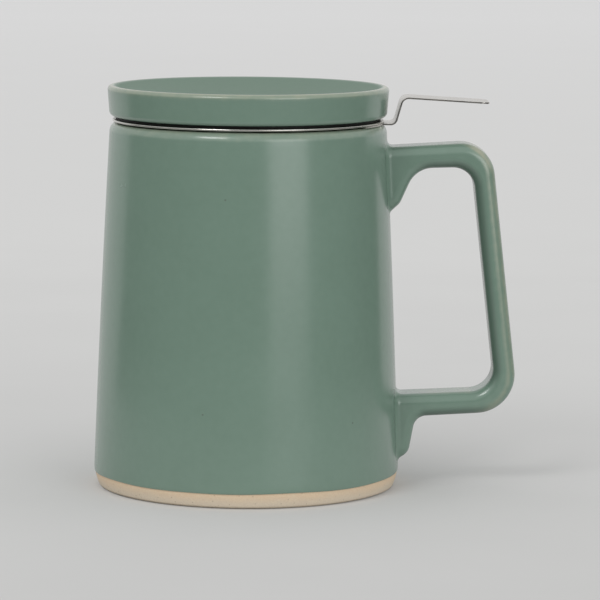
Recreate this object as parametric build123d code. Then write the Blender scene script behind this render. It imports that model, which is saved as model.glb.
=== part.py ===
from build123d import *
import os
from math import cos, degrees, hypot, pi, radians, tan

# Lidded stoneware tea mug with a steel infuser. Millimetres, +Z up, the handle towards +X.
# The origin is on the mug's axis, in the plane of the foot ring that it stands on.

# ------------------------------------------------------------------ mug body
mug_height = 114.2             # top of the mug's own rim
base_radius = 48.15            # outside of the wall's taper, carried down to the table
rim_radius = 43.3              # outside of the wall where the rim rounding starts
wall_bulge = 0.25              # how far the wall swells out of a straight taper
wall_thickness = 4.8
rim_round_height = 2.8         # the rim rounds over within this height
rim_fullness = 0.55            # how full the rim's curve is, from 0 to 1
foot_radius = 46.4             # the wall turns in to this radius at the table
foot_turn_height = 6.6         # the turn starts this high
foot_edge_round = 0.5          # edge between the turned-in wall and the foot ring
floor_thickness = 6.5
floor_round = 9.0              # inside corner between wall and floor
foot_ring_width = 6.0
foot_recess = 1.2              # the underside stands clear of the table by this
foot_recess_round = 0.9

# ------------------------------------------------------------------ handle
handle_width = 15.0            # across the handle, along Y
grip_reach = 81.0              # outside of the grip, half way up
grip_middle = 64.0             # height of that point
grip_lean = 6.55               # the grip leans out towards the table, degrees
grip_thickness = 6.7
upper_arm_top = 107.2          # top of the upper arm, where it leaves the wall
upper_arm_rise = 3.5           # degrees
upper_arm_thickness = 6.9
upper_arm_taper = 1.8          # the underside rises less than the top, degrees
lower_arm_bottom = 21.9        # underside of the lower arm, where it leaves the ear
lower_arm_rise = 3.3           # degrees
lower_arm_thickness = 7.3
lower_arm_taper = 0.7          # degrees
arm_root = 46.0                # distance from the axis at which arm heights are given
corner_upper_outer = 10.6
corner_lower_outer = 12.3
corner_upper_inner = 6.8
corner_lower_inner = 7.4
upper_ear_face = (47.7, 90.0)  # a point on the face of the upper ear
upper_ear_slope = 66.0         # degrees from level
upper_ear_tip = (44.9, 87.2)   # where the ear's tip runs out on the wall
upper_ear_tip_slope = 42.0
upper_ear_bend = 8.4           # hollow between the arm and the ear
lower_ear_face = (51.8, 15.2)
lower_ear_slope = 79.6
lower_ear_tip = (48.2, 9.0)
lower_ear_tip_slope = 34.0
lower_ear_bend = 4.2
ear_tip_round = 4.2
handle_edge_round = 3.1        # long edges of the handle
ear_blend = 2.1                # hollow of clay wiped round each ear
outline_inset = 4.0            # the outlines are carried this far into the wall
touch = 0.05                   # an edge lies on a face if it is nearer than this

# ------------------------------------------------------------------ infuser
seat_gap = 0.4                 # flange above the mug's rim, mostly filled by the tab's root
flange_radius = 42.4
flange_sheet = 0.7
flange_edge_round = 0.3
collar_clearance = 1.0         # collar inside the mug's mouth
collar_bend = 0.8              # inside of the bend between flange and collar
collar_depth = 10.0
strainer_sheet = 0.4
strainer_depth = 85.0          # from the flange down to the strainer's floor
strainer_base_radius = 33.5
strainer_overlap = 4.0         # top of the strainer's wall inside the collar
lap_width = 5.0                # seam where the rolled wall closes
floor_skirt = 5.0
floor_skirt_round = 1.2
hole_sides = 6
hole_width = 2.4               # holes of the strainer's floor, across their corners
hole_pitch = 5.2
hole_margin = 2.0              # plain edge round the holes
wall_hole_width = 3.4          # holes of the strainer's wall, across their corners
wall_hole_pitch = 7.2          # from a hole to its neighbours in its row
wall_hole_row = 6.2            # from a row of holes to the next

# ------------------------------------------------------------------ lifting tab
tab_width = 15.0
tab_sheet = 0.5
tab_stand_off = 1.7            # the tab turns up this far outside the lid
tab_rise = 8.3                 # from the root up to the finger plate
tab_riser_lean = 16.0          # degrees out of upright
tab_droop = 3.3                # degrees, finger plate down towards its tip
tab_reach = 75.0               # tip, from the axis
tab_bend = 1.4
tab_tip_round = 2.5
tab_root_width = 1.5           # curved root under the flange's edge
tab_root_spread = 31.0         # degrees, each side of the handle

# ------------------------------------------------------------------ lid and seal
seal_thickness = 0.85          # leaf of the seal, between flange and lid
seal_radius = 41.4
seal_edge_round = 0.35         # soft outer edge of the seal
seal_bore_gap = 0.15           # seal round the spigot
lid_height = 9.55              # underside to the top of the lip
lid_lower_radius = 43.25       # at the underside, before its edge is rounded
lid_upper_radius = 44.0        # at the top, before its edge is rounded
lid_under_round = 1.7
lid_top_round = 2.9
lid_lip_width = 4.4
lid_lip_round = 1.4            # edge between the lip and the dish
dish_depth = 4.0
lid_core = 5.0                 # thickness under the middle of the dish
spigot_clearance = 1.3         # ring under the lid inside the collar
spigot_depth = 4.8
spigot_width = 3.6
spigot_round = 1.2

# ------------------------------------------------------------------ sizes that follow
rim_start = mug_height - rim_round_height
mouth_radius = rim_radius - wall_thickness
flange_under = mug_height + seat_gap
flange_top = flange_under + flange_sheet
collar_outer = mouth_radius - collar_clearance
collar_inner = collar_outer - flange_sheet
collar_end = flange_under - collar_depth
strainer_bottom = flange_under - strainer_depth
lid_under = flange_top + seal_thickness
lid_top = lid_under + lid_height
spigot_radius = collar_inner - spigot_clearance
tab_knee = lid_upper_radius + tab_stand_off


def wall_radius(z):
    """Outside radius of the mug's wall at height z: a straight taper and its swell."""
    t = z / rim_start
    return base_radius + (rim_radius - base_radius) * t + 4 * wall_bulge * t * (1 - t)


def strainer_radius(z):
    """Outside radius of the strainer's wall, tapering from the collar to its floor."""
    t = (z - strainer_bottom) / (collar_end - strainer_bottom)
    return strainer_base_radius + (collar_inner - strainer_base_radius) * t


def meet(p, p_slope, q, q_slope):
    """The point where two lines meet, each given by a point and a slope in degrees."""
    a, b = tan(radians(p_slope)), tan(radians(q_slope))
    x = (q[1] - p[1] + p[0] * a - q[0] * b) / (a - b)
    return x, p[1] + (x - p[0]) * a


def upright(edges):
    """Stands a drawing made in X and Y up into the XZ plane."""
    return Plane.XZ * edges


def spin(face):
    """Turns a profile about the mug's axis, with the seam of the surface at the back."""
    return revolve(face, Axis.Z).rotate(Axis.Z, 180)


def eased(face, rounds):
    """Rounds corners of a flat profile in the XZ plane: {(x, z): radius}."""
    for (x, z), radius in rounds.items():
        nearest = min(face.vertices(), key=lambda v: hypot(v.X - x, v.Z - z))
        face = fillet(nearest, radius)
    return face


def outside_line():
    """The mug's outside wall, from where its foot turns in up to where the rim starts."""
    half = (foot_turn_height + rim_start) / 2
    return ThreePointArc(
        (wall_radius(foot_turn_height), foot_turn_height),
        (wall_radius(half), half),
        (rim_radius, rim_start),
    )


def foot_line():
    """The foot of the wall, from the table up, running on into the wall without a corner."""
    wall = outside_line()
    return TangentArc(wall @ 0, (foot_radius, 0), tangent=-(wall % 0))


def mug_body():
    outside = outside_line()
    slope = outside % 1
    crown = (rim_radius + mouth_radius) / 2
    pull_up = rim_fullness * rim_round_height
    pull_out = rim_fullness * wall_thickness / 2
    rim_out = Bezier(
        (rim_radius, rim_start),
        (rim_radius + slope.X * pull_up, rim_start + pull_up),
        (crown + pull_out, mug_height),
        (crown, mug_height),
    )
    rim_in = Bezier(
        (crown, mug_height),
        (crown - pull_out, mug_height),
        (mouth_radius, rim_start + pull_up),
        (mouth_radius, rim_start),
    )
    half = (rim_start + floor_thickness) / 2
    floor_radius = wall_radius(floor_thickness) - wall_thickness
    inside = ThreePointArc(
        (mouth_radius, rim_start),
        (wall_radius(half) - wall_thickness, half),
        (floor_radius, floor_thickness),
    )
    ring_inner = foot_radius - foot_ring_width
    under = Polyline(
        (floor_radius, floor_thickness),
        (0, floor_thickness),
        (0, foot_recess),
        (ring_inner, foot_recess),
        (ring_inner, 0),
        (foot_radius, 0),
    )
    profile = make_face(upright(foot_line() + outside + rim_out + rim_in + inside + under))
    rounds = {
        (foot_radius, 0): foot_edge_round,
        (floor_radius, floor_thickness): floor_round,
        (ring_inner, 0): foot_recess_round,
    }
    return spin(eased(profile, rounds))


def wall_plug():
    """Solid plug with the mug's outside wall, which the handle is shaped against."""
    outside = outside_line()
    top = outside @ 1 + outside % 1 * rim_round_height
    ends = Polyline(outside @ 1, top, (0, top.Y), (0, 0), (foot_radius, 0))
    return spin(make_face(upright(foot_line() + outside + ends)))


def handle_slab():
    """The handle's side outline and its finger gap, drawn from lines that meet in corners."""
    grip_slope = 90 + grip_lean
    grip_out = (grip_reach, grip_middle)
    grip_in = (grip_reach - grip_thickness / cos(radians(grip_lean)), grip_middle)
    upper_top = (arm_root, upper_arm_top)
    upper_under = (arm_root, upper_arm_top - upper_arm_thickness)
    upper_under_rise = upper_arm_rise - upper_arm_taper
    lower_under = (arm_root, lower_arm_bottom)
    lower_top = (arm_root, lower_arm_bottom + lower_arm_thickness)
    lower_top_rise = lower_arm_rise - lower_arm_taper
    inset = rim_radius - outline_inset

    def inside_wall(point, slope):
        return inset, point[1] + (inset - point[0]) * tan(radians(slope))

    outline = {
        inside_wall(upper_top, upper_arm_rise): 0,
        meet(upper_top, upper_arm_rise, grip_out, grip_slope): corner_upper_outer,
        meet(lower_under, lower_arm_rise, grip_out, grip_slope): corner_lower_outer,
        meet(lower_under, lower_arm_rise, lower_ear_face, lower_ear_slope): lower_ear_bend,
        meet(lower_ear_face, lower_ear_slope, lower_ear_tip, lower_ear_tip_slope): ear_tip_round,
        inside_wall(lower_ear_tip, lower_ear_tip_slope): 0,
    }
    gap = {
        inside_wall(lower_top, lower_top_rise): 0,
        meet(lower_top, lower_top_rise, grip_in, grip_slope): corner_lower_inner,
        meet(upper_under, upper_under_rise, grip_in, grip_slope): corner_upper_inner,
        meet(upper_under, upper_under_rise, upper_ear_face, upper_ear_slope): upper_ear_bend,
        meet(upper_ear_face, upper_ear_slope, upper_ear_tip, upper_ear_tip_slope): ear_tip_round,
        inside_wall(upper_ear_tip, upper_ear_tip_slope): 0,
    }

    def slab(corners):
        face = make_face(upright(Polyline(*corners, close=True)))
        rounds = {corner: radius for corner, radius in corners.items() if radius}
        return extrude(eased(face, rounds), handle_width / 2, both=True)

    return slab(outline) - slab(gap)


def mug_handle():
    slab = handle_slab()
    side = handle_width / 2
    long_edges = slab.edges().filter_by(lambda e: abs(abs(e.center().Y) - side) < touch)
    plug = wall_plug()
    joined = plug + fillet(long_edges, handle_edge_round)

    def on_wall(edge):
        """True for the edges where the handle meets the wall."""
        points = [edge @ 0.1, edge @ 0.5, edge @ 0.9]
        return all(
            p.X > 0 and abs(p.Y) <= side and abs(hypot(p.X, p.Y) - wall_radius(p.Z)) < touch
            for p in points
        )

    blended = fillet(joined.edges().filter_by(on_wall), ear_blend)
    around = Pos(grip_reach, 0, (rim_start + foot_turn_height) / 2) * Box(
        2 * (grip_reach - rim_radius + outline_inset), 2 * handle_width, rim_start - foot_turn_height
    )
    return blended & (around - plug)


def infuser_flange():
    corners = (
        (flange_radius, flange_under),
        (flange_radius, flange_top),
        (collar_inner, flange_top),
        (collar_inner, collar_end),
        (collar_outer, collar_end),
        (collar_outer, flange_under),
    )
    rounds = {
        (flange_radius, flange_under): flange_edge_round,
        (flange_radius, flange_top): flange_edge_round,
        (collar_inner, flange_top): collar_bend + flange_sheet,
        (collar_outer, flange_under): collar_bend,
    }
    return spin(eased(make_face(upright(Polyline(*corners, close=True))), rounds))


def sheet_band(low, high, offset, thickness, spread=360):
    """Band of sheet that follows the strainer's taper, outwards from its wall by offset."""
    corners = (
        (strainer_radius(low) + offset, low),
        (strainer_radius(low) + offset + thickness, low),
        (strainer_radius(high) + offset + thickness, high),
        (strainer_radius(high) + offset, high),
    )
    face = make_face(upright(Polyline(*corners, close=True)))
    return revolve(face, Axis.Z, spread).rotate(Axis.Z, 180 - spread / 2)


def wall_holes():
    """Rows of radial holes round the strainer's wall, each row staggered against the last. The
    seam at the back stays plain."""
    edge = hole_margin + wall_hole_width / 2
    low = strainer_bottom + floor_skirt + edge
    rows = int((collar_end - edge - low) / wall_hole_row) + 1
    columns = int(2 * pi * strainer_base_radius / wall_hole_pitch)
    seam = degrees((lap_width / 2 + edge) / strainer_base_radius)
    drill = extrude(RegularPolygon(wall_hole_width / 2, hole_sides), lap_width / 2, both=True)
    holes = []
    for row in range(rows):
        z = low + row * wall_hole_row
        for column in range(columns):
            turn = 360 * (column + row % 2 / 2) / columns
            if abs(turn - 180) > seam:
                holes.append(Rot(0, 0, turn) * Pos(strainer_radius(z), 0, z) * Rot(0, 90, 0) * drill)
    return holes


def strainer_wall():
    taper = sheet_band(strainer_bottom, collar_end, -strainer_sheet, strainer_sheet)
    neck = Pos(0, 0, collar_end) * extrude(
        Circle(collar_inner) - Circle(collar_inner - strainer_sheet), strainer_overlap
    )
    lap_spread = degrees(lap_width / strainer_base_radius)
    lap = sheet_band(
        strainer_bottom + floor_skirt, collar_end, -strainer_sheet / 2, strainer_sheet, lap_spread
    )
    return taper + neck + lap - wall_holes()


def strainer_floor():
    low = strainer_bottom - strainer_sheet
    high = strainer_bottom + floor_skirt
    reach = strainer_base_radius + strainer_sheet
    corners = (
        (0, strainer_bottom),
        (0, low),
        (reach, low),
        (strainer_radius(high) + strainer_sheet, high),
        (strainer_radius(high), high),
        (strainer_base_radius, strainer_bottom),
    )
    profile = make_face(upright(Polyline(*corners, close=True)))
    pan = spin(eased(profile, {(reach, low): strainer_sheet}))
    hole = RegularPolygon(hole_width / 2, hole_sides)
    rings = int((strainer_base_radius - hole_margin - hole_width / 2) / hole_pitch)
    holes = [hole]
    for ring in range(1, rings + 1):
        holes += PolarLocations(ring * hole_pitch, hole_sides * ring) * hole
    drills = Pos(0, 0, low) * extrude(Sketch() + holes, strainer_sheet)
    return pan - drills


def infuser_tab():
    level = flange_under - tab_sheet / 2
    start = (collar_outer, level)
    knee = (tab_knee, level)
    shoulder = (tab_knee + tab_rise * tan(radians(tab_riser_lean)), level + tab_rise)
    drop = (tab_reach - shoulder[0]) * tan(radians(tab_droop))
    tip = (tab_reach, shoulder[1] - drop)
    path = upright(FilletPolyline(start, knee, shoulder, tip, radius=tab_bend))
    section = Plane(origin=path @ 0, z_dir=path % 0) * Rectangle(tab_sheet, tab_width)
    strip = sweep(section, path)
    corners = strip.edges().filter_by(lambda e: e.length < 2 * tab_sheet).sort_by(Axis.X)[-2:]
    strip = fillet(corners, tab_tip_round)
    root_inner = flange_radius - tab_root_width
    band = upright(Pos(root_inner + tab_root_width / 2, level) * Rectangle(tab_root_width, tab_sheet))
    root = revolve(band, Axis.Z, 2 * tab_root_spread).rotate(Axis.Z, -tab_root_spread)
    bore = Pos(0, 0, level) * Cylinder(root_inner, 2 * tab_sheet)
    return strip - bore + root


def lid_seal():
    bore = spigot_radius + seal_bore_gap
    corners = (
        (bore, flange_top),
        (seal_radius, flange_top),
        (seal_radius, lid_under),
        (bore, lid_under),
    )
    profile = make_face(upright(Polyline(*corners, close=True)))
    rounds = {(seal_radius, flange_top): seal_edge_round, (seal_radius, lid_under): seal_edge_round}
    return spin(eased(profile, rounds))


def lid():
    lip_inner = lid_upper_radius - lid_lip_width
    centre_top = lid_top - dish_depth
    centre_under = centre_top - lid_core
    spigot_inner = spigot_radius - spigot_width
    spigot_end = lid_under - spigot_depth
    dish = ThreePointArc((-lip_inner, lid_top), (0, centre_top), (lip_inner, lid_top))
    dish = dish.trim(0.5, 1)
    rest = Polyline(
        (0, centre_top),
        (0, centre_under),
        (spigot_inner, centre_under),
        (spigot_inner, spigot_end),
        (spigot_radius, spigot_end),
        (spigot_radius, lid_under),
        (lid_lower_radius, lid_under),
        (lid_upper_radius, lid_top),
        (lip_inner, lid_top),
    )
    rounds = {
        (lid_lower_radius, lid_under): lid_under_round,
        (lid_upper_radius, lid_top): lid_top_round,
        (lip_inner, lid_top): lid_lip_round,
        (spigot_inner, spigot_end): spigot_round,
        (spigot_radius, spigot_end): spigot_round,
    }
    return spin(eased(make_face(upright(dish + rest)), rounds))


os.makedirs("parts", exist_ok=True)
for make in (
    mug_body,
    mug_handle,
    lid,
    lid_seal,
    infuser_flange,
    infuser_tab,
    strainer_wall,
    strainer_floor,
):
    export_step(make(), f"parts/{make.__name__}.step")
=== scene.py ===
# %% [markdown]
# # A lidded stoneware tea mug with a steel infuser
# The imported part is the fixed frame: eight pieces on three bodies, in metres, with the mug's
# axis on Z and its handle towards +X. Blender gives each piece its visible surface. A piece that
# is remade here takes its place and size from the CAD node that it stands for, so nothing is
# fitted afterwards.

# %% Load the frame
from math import cos, pi, radians, sin, tan

import bpy
import numpy as np
from mathutils import Matrix, Vector
from mathutils.geometry import delaunay_2d_cdt


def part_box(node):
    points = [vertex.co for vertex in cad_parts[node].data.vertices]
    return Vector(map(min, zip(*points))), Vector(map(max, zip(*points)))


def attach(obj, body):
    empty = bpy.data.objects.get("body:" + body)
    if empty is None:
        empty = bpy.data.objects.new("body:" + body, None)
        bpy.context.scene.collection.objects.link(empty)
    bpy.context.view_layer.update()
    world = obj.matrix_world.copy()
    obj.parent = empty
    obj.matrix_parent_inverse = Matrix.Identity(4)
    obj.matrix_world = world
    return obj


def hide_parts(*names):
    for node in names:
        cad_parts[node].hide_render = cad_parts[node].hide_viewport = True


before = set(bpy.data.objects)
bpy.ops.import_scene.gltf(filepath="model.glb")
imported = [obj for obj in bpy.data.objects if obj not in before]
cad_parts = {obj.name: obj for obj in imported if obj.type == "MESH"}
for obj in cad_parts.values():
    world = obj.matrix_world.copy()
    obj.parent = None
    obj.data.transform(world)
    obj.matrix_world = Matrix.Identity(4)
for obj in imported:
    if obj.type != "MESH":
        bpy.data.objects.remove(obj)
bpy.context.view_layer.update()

MM = 0.001
print("nodes:", sorted(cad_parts))

# %% [markdown]
# ## Places and sizes, read from the frame
# Each node's box gives the heights and radii that its surface has to keep. Millimetres are
# easier to think in at this size, so the boxes are turned into millimetres once, and each
# finished mesh is turned back into metres when it is made.

# %% Boxes of the CAD nodes, in millimetres
low = {}
high = {}
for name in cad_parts:
    corner_low, corner_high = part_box(name)
    low[name] = np.array(corner_low) / MM
    high[name] = np.array(corner_high) / MM
    print(f"{name:15s} radius {high[name][1]:6.2f}   z {low[name][2]:7.2f} to {high[name][2]:7.2f}")

# %% [markdown]
# ## Colour
# A colour is given as a screen shows it, so it is written as sRGB hex. Light adds up linearly, so the
# shader wants it linear. One function does the change, with the exact sRGB curve.

# %% sRGB hex to linear
def linear(hex_colour):
    """Linear RGBA of an sRGB hex colour: per channel, c/12.92 near black, else a 2.4 power."""
    c = np.array([int(hex_colour[i : i + 2], 16) for i in (1, 3, 5)]) / 255
    c = np.where(c <= 0.04045, c / 12.92, ((c + 0.055) / 1.055) ** 2.4)
    return (*c.tolist(), 1.0)


print("a screen grey of #808080 reflects", round(linear("#808080")[0], 3), "of the light")

# %% [markdown]
# ## One helper for every node
# A material is a small graph. Nodes could be wired by hand in the editor, but in a script the
# same few steps come back each time: make a node, set what is fixed on it, and either link an
# input to another node's output or give it a value. So one function does that for any node.
# The settings that come back most often have names.

# %% Node helper
def add(tree, kind, settings=None, inputs=None, output=0):
    """Adds one node, sets it up and returns one output. Inputs go by socket name or number, or
    as a list in the node's own order. A socket becomes a link, anything else a value."""
    made = tree.nodes.new("ShaderNode" + kind)
    for name, value in (settings or {}).items():
        setattr(made, name, value)
    sockets = enumerate(inputs) if isinstance(inputs, list) else (inputs or {}).items()
    for name, value in sockets:
        if isinstance(value, bpy.types.NodeSocket):
            tree.links.new(value, made.inputs[name])
        else:
            made.inputs[name].default_value = value
    return made.outputs[output] if len(made.outputs) else made


SMOOTH = {"interpolation_type": "SMOOTHSTEP"}    # MapRange: value, from low, high, to low, high
COLOURS = {"data_type": "RGBA"}                  # Mix: 0 share, 6 and 7 colours, output 2
PLUS = {"operation": "ADD"}
TIMES = {"operation": "MULTIPLY"}
TIMES_PLUS = {"operation": "MULTIPLY_ADD"}       # first times second, plus third


def start_material(name):
    """A new material with an empty graph."""
    material = bpy.data.materials.new(name)
    material.use_nodes = True
    material.node_tree.nodes.clear()
    return material, material.node_tree


def end_of_graph(material, shader):
    """Wires the shader to the material's output and says how large the graph is."""
    tree = material.node_tree
    add(tree, "OutputMaterial", {}, {"Surface": shader})
    print(f"{material.name}: {len(tree.nodes)} nodes")
    return material


# %% [markdown]
# ## Shapes that come off a wheel
# The cup, the lid, the seal and the flange are all round, so each is one profile turned about
# the axis. A Screw modifier would do that too, but here each point has to know its place on the
# profile, for the masks of the glaze, so the grid is worked out as an array. A profile is
# written as a few corners with a radius each, the way a drawing gives them, and the helper puts
# the arcs in. Points crowd together in the arcs, where the surface bends, and stay apart on the
# straights.

# %% Profiles and lathe
def rounded(corners, arc_steps=8, longest=2.0):
    """Open outline through (r, z, radius) corners. At each inner corner an arc of that radius
    touches both straights; straights are cut into steps no longer than the longest."""
    p = np.array([c[:2] for c in corners], float)
    pieces = [p[:1]]
    for i in range(1, len(p) - 1):
        before = (p[i - 1] - p[i]) / np.linalg.norm(p[i - 1] - p[i])
        after = (p[i + 1] - p[i]) / np.linalg.norm(p[i + 1] - p[i])
        half = np.arccos(np.clip(before @ after, -1, 1)) / 2
        radius = corners[i][2]
        if radius == 0:
            pieces.append(p[i : i + 1])
            continue
        middle = (before + after) / np.linalg.norm(before + after)
        centre = p[i] + middle * radius / np.sin(half)
        start = p[i] + before * radius / np.tan(half) - centre
        end = p[i] + after * radius / np.tan(half) - centre
        sweep = pi - 2 * half
        t = np.linspace(0, 1, arc_steps + 1)[:, None]
        spoke = (np.sin((1 - t) * sweep) * start + np.sin(t * sweep) * end) / np.sin(sweep)
        pieces.append(centre + spoke)
    pieces.append(p[-1:])
    line = np.concatenate(pieces)
    gaps = np.linalg.norm(np.diff(line, axis=0), axis=1)
    counts = np.maximum(1, np.ceil(gaps / longest)).astype(int)
    along = np.concatenate([i + np.arange(n) / n for i, n in enumerate(counts)] + [[len(line) - 1]])
    whole = np.arange(len(line))
    return np.stack([np.interp(along, whole, line[:, k]) for k in (0, 1)], 1)


def loop_outline(corners, arc_steps, longest):
    """A closed outline through the corners. The first lies somewhere on a straight side, so it
    has no arc; it is repeated at the end, then dropped."""
    return rounded([*corners, corners[0]], arc_steps, longest)[:-1]


def grid_faces(rows, columns, wrap_rows, wrap_columns):
    """Quads of a grid of points, row after row; either way round it may close on itself."""
    i = np.arange(rows if wrap_rows else rows - 1)[:, None]
    j = np.arange(columns if wrap_columns else columns - 1)[None, :]
    i2, j2 = (i + 1) % rows, (j + 1) % columns
    quads = np.stack([i * columns + j, i * columns + j2, i2 * columns + j2, i2 * columns + j], -1)
    return quads.reshape(-1, 4)


def make_piece(name, points, faces, materials, values=None, face_material=None):
    """A smooth-shaded mesh object from points in millimetres and lists of faces."""
    mesh = bpy.data.meshes.new(name)
    mesh.from_pydata((points * MM).tolist(), [], [list(f) for f in faces])
    mesh.shade_smooth()
    for material in materials:
        mesh.materials.append(material)
    if face_material is not None:
        mesh.polygons.foreach_set("material_index", np.asarray(face_material, np.int32))
    for title, per_point in (values or {}).items():
        attribute = mesh.attributes.new(title, "FLOAT", "POINT")
        attribute.data.foreach_set("value", np.asarray(per_point, np.float32))
    mesh.validate()
    piece = bpy.data.objects.new(name, mesh)
    bpy.context.scene.collection.objects.link(piece)
    print(f"{name}: {len(mesh.vertices)} points, {len(mesh.polygons)} faces")
    return piece


turns = 256                       # facets round a turned piece
azimuth = np.arange(turns) * 2 * pi / turns


def turned(profile, closed, bend=None):
    """Points (cos a * r, sin a * r, z) for each profile point (r, z) and each azimuth a.
    A profile that starts and ends on the axis gets one point at each pole; a closed profile
    makes a ring. bend(r, z, a) may change r and z with the azimuth."""
    inner = profile if closed else profile[1:-1]
    r = np.repeat(inner[:, :1], turns, 1)
    z = np.repeat(inner[:, 1:], turns, 1)
    if bend:
        r, z = bend(r, z, azimuth[None, :])
    points = np.stack([r * np.cos(azimuth), r * np.sin(azimuth), z], -1).reshape(-1, 3)
    faces = grid_faces(len(inner), turns, closed, True).tolist()
    ring_of_face = list(np.repeat(np.arange(len(inner) if closed else len(inner) - 1), turns))
    if not closed:
        count = len(points)
        poles = np.stack([[0, 0, profile[0, 1]], [0, 0, profile[-1, 1]]])
        points = np.concatenate([points, poles])
        j = np.arange(turns)
        k = (j + 1) % turns
        last = (len(inner) - 1) * turns
        faces += np.stack([k, j, np.full(turns, count)], 1).tolist()
        faces += np.stack([last + j, last + k, np.full(turns, count + 1)], 1).tolist()
        ring_of_face += [0] * turns + [len(inner) - 2] * turns
    return points, faces, np.array(ring_of_face)


# %% [markdown]
# ## The cup
# The wall is a straight taper with a slight swell, and it turns in at the foot. The glaze stops
# a few millimetres above the table, where it was wiped off so that the cup doesn't stick to the
# kiln shelf. Its edge is a real step, thickest where the wet glaze gathered, and it wanders a
# little round the cup. The clay below it is bare. Paint alone could show that edge, but a step
# in the profile also catches light and shade, so the profile has it.

# %% Cup profile
cup_height = high["mug_body"][2]
rim_start = cup_height - 2.8      # the rim starts to round over here
foot_turn = 6.6                   # the wall turns in below this height
base_radius = 48.14               # the wall's taper, carried down to the table
rim_radius = 43.3
swell = 0.25
foot_radius = 46.4
foot_edge = 0.5                   # height of the foot's softened edge
ring_inside = 40.4                # inside of the foot ring
recess = 1.2                      # the underside stands clear of the table by this
mouth_radius = 38.5
wall_thickness = 4.8
well_floor = 6.5                  # height of the floor inside
well_round = 9.0                  # inside corner between wall and floor
well_start = 18                   # the inside follows the wall down to this height
rim_fullness = 0.55               # how full the rim's curve is, from 0 to 1
rim_lean = 0.05                   # the wall leans in by this share where the rim starts
glaze_edge = 4.6                  # mean height of the glaze's lower edge
glaze_step = 0.22                 # thickness of the glaze there
glaze_bead = 0.35                 # the glaze reaches that thickness within this height
glaze_even = 12.0                 # above this height its edge is no longer felt
outer_side = 45                   # profile points beyond this radius are on the outside


def wall_radius(z):
    """Outside radius: linear in z from base to rim, plus a parabola of the swell's height."""
    t = z / rim_start
    return base_radius + (rim_radius - base_radius) * t + 4 * swell * t * (1 - t)


def outside_radius(z):
    """The wall above the turn; below it the wall's tangent less a parabola, down to the foot."""
    slope = (rim_radius - base_radius + 4 * swell * (1 - 2 * foot_turn / rim_start)) / rim_start
    down = np.maximum(foot_turn - z, 0)
    at_table = wall_radius(foot_turn) - slope * foot_turn
    turn_in = (at_table - foot_radius) * (down / foot_turn) ** 2
    return wall_radius(np.maximum(z, foot_turn)) - slope * down - turn_in


def bezier(p0, p1, p2, p3, steps):
    """Points of the cubic Bezier curve from p0 to p3, with p1 and p2 as its handles."""
    t = np.linspace(0, 1, steps + 1)[:, None]
    p0, p1, p2, p3 = (np.array(p, float) for p in (p0, p1, p2, p3))
    return (1 - t) ** 3 * p0 + 3 * (1 - t) ** 2 * t * p1 + 3 * (1 - t) * t**2 * p2 + t**3 * p3


bare_foot = foot_radius - glaze_step
under_corners = [
    (0, recess, 0), (ring_inside, recess, 0.5), (ring_inside, 0, 0.9), (bare_foot - 1.0, 0, 0.1),
    (bare_foot, 0.42, 0.12), (bare_foot + 0.02, foot_edge, 0),
]
clay = np.linspace(foot_edge, glaze_edge, 10)
bead_turn = np.linspace(0, pi / 2, 8)[1:]
bead = glaze_edge + glaze_bead * (1 - np.cos(bead_turn))
near_edge = np.linspace(glaze_edge + glaze_bead, glaze_even, 16)[1:]
plain = np.concatenate([near_edge, np.linspace(glaze_even, rim_start, 56)[1:]])
crown = (rim_radius + mouth_radius) / 2
rim_up = rim_fullness * (cup_height - rim_start)
rim_across = rim_fullness * wall_thickness / 2
inside = np.linspace(rim_start, well_start, 44)[1:]
well_corners = [
    (wall_radius(well_start) - wall_thickness, well_start, 0),
    (wall_radius(well_floor) - wall_thickness, well_floor, well_round), (0, well_floor, 0),
]
cup_profile = np.concatenate(
    [
        rounded(under_corners, 6, 4.0)[:-1],
        np.stack([outside_radius(clay) - glaze_step, clay], 1),
        np.stack([outside_radius(bead) - glaze_step * (1 - np.sin(bead_turn)), bead], 1),
        np.stack([outside_radius(plain), plain], 1),
        bezier(
            (rim_radius, rim_start), (rim_radius - rim_lean * rim_up, rim_start + rim_up),
            (crown + rim_across, cup_height), (crown, cup_height), 12,
        )[1:],
        bezier(
            (crown, cup_height), (crown - rim_across, cup_height),
            (mouth_radius, rim_start + rim_up), (mouth_radius, rim_start), 12,
        )[1:],
        np.stack([wall_radius(inside) - wall_thickness, inside], 1),
        rounded(well_corners, 14, 3.0)[1:],
    ]
)
glazed = (cup_profile[:, 1] > glaze_edge) & (cup_profile[:, 0] > outer_side)
clay_rings = int(np.argmax(glazed))
print("cup profile:", len(cup_profile), "points, bare clay up to ring", clay_rings)

# %% The glaze's edge wanders
WAVES = [(0.35, 1, 2.3), (0.2, 2, 0.6), (0.12, 5, 1.9), (0.07, 9, 0.4)]    # mm, number, start


def wander(r, z, a):
    """The glaze's edge rises and falls in a few long waves. They fade in over the lowest 3 mm
    and out over 5 mm below where the glaze is even, and every point that moves stays on the
    wall."""
    wave = sum(height * np.sin(number * a + start) for height, number, start in WAVES)
    felt = np.clip((z - 0.6) / 3, 0, 1) * np.clip((glaze_even - z) / 5, 0, 1) * (r > outer_side)
    moved = z + wave * felt
    return r + np.where(felt > 0, outside_radius(moved) - outside_radius(z), 0), moved


print("the glaze's edge wanders by up to", round(sum(wave[0] for wave in WAVES), 2), "mm")

# %% [markdown]
# ## The lid, its seal and the infuser's rim
# The lid is a shallow dish with a raised lip. Under it, a ring of clay keeps it from sliding
# off. A thin black washer lies between it and the steel. The steel rim is a flat ring whose
# inner part is drawn down into a collar. The dish is part of a sphere, as a jigger leaves it,
# and the rest is corners with a radius each. The small radii matter most: an edge that is too
# sharp or too soft gives away a model sooner than anything else.

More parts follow.
